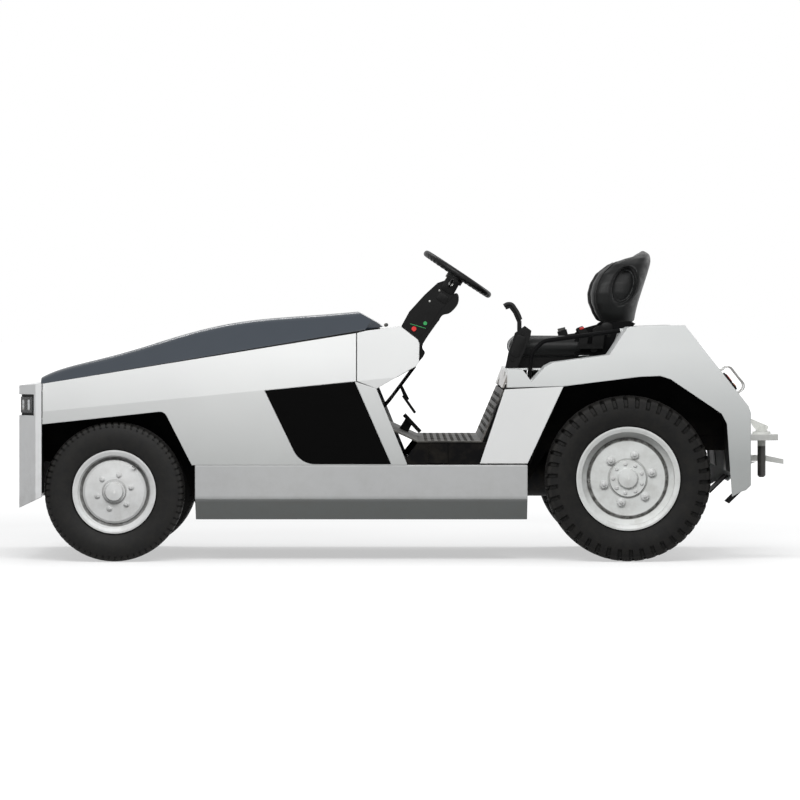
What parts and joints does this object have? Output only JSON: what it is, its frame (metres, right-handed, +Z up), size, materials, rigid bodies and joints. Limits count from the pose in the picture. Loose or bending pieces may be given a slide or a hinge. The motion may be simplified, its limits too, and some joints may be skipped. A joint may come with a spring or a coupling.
{
  "type": "airport baggage tug",
  "caption": "Low electric tow tractor with a wedge hood, one central seat, open footwell, steered front wheels and a rear pin hitch.",
  "frame": {"origin": "on the ground under the middle of the overall length and width", "axes": "+X rearwards from the nose to the hitch, +Y to the driver's right, +Z up"},
  "size_m": [3.507, 1.4, 1.412],
  "materials": {
    "body_white": "satin light grey-white coat",
    "bumper_grey": "satin light grey coat",
    "sill_grey": "satin mid grey coat",
    "hood_blue": "gloss dark slate coat",
    "wheel_silver": "satin silver coat",
    "frame_black": "satin black coat",
    "black_plastic": "grained moulded plastic",
    "inset_black": "smooth dark film",
    "seat_vinyl": "grained vinyl",
    "tread_plate": "dark painted tread plate",
    "tyre_rubber": "black rubber",
    "flap_rubber": "black rubber",
    "lamp_lens": "clear lens",
    "lamp_red": "red and amber lens",
    "switch_plastic": "coloured switch caps",
    "steel": "bare steel",
    "iron": "dark cast iron",
    "battery_case": "dark coat"
  },
  "bodies": {
    "chassis": {"frame": "frame_black", "outriggers": "frame_black", "battery_tray": "frame_black", "battery": "battery_case", "sills": "sill_grey", "front_bumper": "bumper_grey", "headlamps": "black_plastic", "headlamp_lenses": "lamp_lens", "side_panel_left": "body_white", "side_panel_right": "body_white", "side_insets": "inset_black", "hood_frame": "black_plastic", "cowl": "body_white", "firewall": "frame_black", "floor": "tread_plate", "floor_aprons": "frame_black", "wheelhouses_front": "frame_black", "wheelhouses_rear": "frame_black", "seat_box": "body_white", "fenders": "body_white", "rear_cover": "body_white", "mud_flaps": "flap_rubber", "seat_base": "black_plastic", "seat_cushion": "seat_vinyl", "seat_back": "seat_vinyl", "hip_guards": "frame_black", "brake_lever": "black_plastic", "belt_buckle": "black_plastic", "steering_column": "black_plastic", "column_switches": "switch_plastic", "pedals": "black_plastic", "tail_lamps": "lamp_red", "lamp_guards": "steel", "hitch_bracket": "bumper_grey", "drive_axle": "iron", "front_axle": "iron", "springs_front": "iron", "springs_rear": "iron"},
    "hood": {"hood": "hood_blue"},
    "steering_wheel": {"steering_wheel": "black_plastic"},
    "knuckle_left": {"knuckle_left": "iron"},
    "knuckle_right": {"knuckle_right": "iron"},
    "tie_rod": {"tie_rod": "steel"},
    "hitch_pin": {"hitch_pin": "steel"},
    "wheel_front_left": {"rim_front_left": "wheel_silver", "tyre_front_left": "tyre_rubber"},
    "wheel_front_right": {"rim_front_right": "wheel_silver", "tyre_front_right": "tyre_rubber"},
    "wheel_rear_left": {"rim_rear_left": "wheel_silver", "tyre_rear_left": "tyre_rubber"},
    "wheel_rear_right": {"rim_rear_right": "wheel_silver", "tyre_rear_right": "tyre_rubber"}
  },
  "joints": [
    {"name": "steer_left", "type": "hinge", "parent": "chassis", "child": "knuckle_left", "pos_m": [-1.3205, -0.53, 0.315], "axis": [0, 0, 1], "range_deg": [-32, 32]},
    {"name": "steer_right", "type": "hinge", "parent": "chassis", "child": "knuckle_right", "pos_m": [-1.3205, 0.53, 0.315], "axis": [0, 0, 1], "range_deg": [-32, 32]},
    {"name": "tie_rod_left", "type": "hinge", "parent": "knuckle_left", "child": "tie_rod", "pos_m": [-1.2205, -0.53, 0.2327], "axis": [0, 0, 1], "range_deg": [-32, 32]},
    {"name": "steering_wheel_turn", "type": "hinge", "parent": "chassis", "child": "steering_wheel", "pos_m": [0.2345, 0, 1.303], "axis": [0.5563, 0, 0.831], "range_deg": [-480, 480]},
    {"name": "hood_hinge", "type": "hinge", "parent": "chassis", "child": "hood", "pos_m": [-0.113, 0, 1.062], "axis": [0, 1, 0], "range_deg": [0, 60]},
    {"name": "hitch_pin_lift", "type": "slide", "parent": "chassis", "child": "hitch_pin", "axis": [0, 0, 1], "range_m": [0, 0.18]},
    {"name": "front_left_spin", "type": "hinge", "parent": "knuckle_left", "child": "wheel_front_left", "pos_m": [-1.3205, -0.58, 0.315], "axis": [0, 1, 0], "continuous": true},
    {"name": "front_right_spin", "type": "hinge", "parent": "knuckle_right", "child": "wheel_front_right", "pos_m": [-1.3205, 0.58, 0.315], "axis": [0, 1, 0], "continuous": true},
    {"name": "rear_left_spin", "type": "hinge", "parent": "chassis", "child": "wheel_rear_left", "pos_m": [0.9945, -0.58, 0.374], "axis": [0, 1, 0], "continuous": true},
    {"name": "rear_right_spin", "type": "hinge", "parent": "chassis", "child": "wheel_rear_right", "pos_m": [0.9945, 0.58, 0.374], "axis": [0, 1, 0], "continuous": true}
  ],
  "couplings": [
    {"joint": "steer_right", "follows": "steer_left", "ratio": 1},
    {"joint": "tie_rod_left", "follows": "steer_left", "ratio": -1},
    {"joint": "steering_wheel_turn", "follows": "steer_left", "ratio": 15}
  ]
}
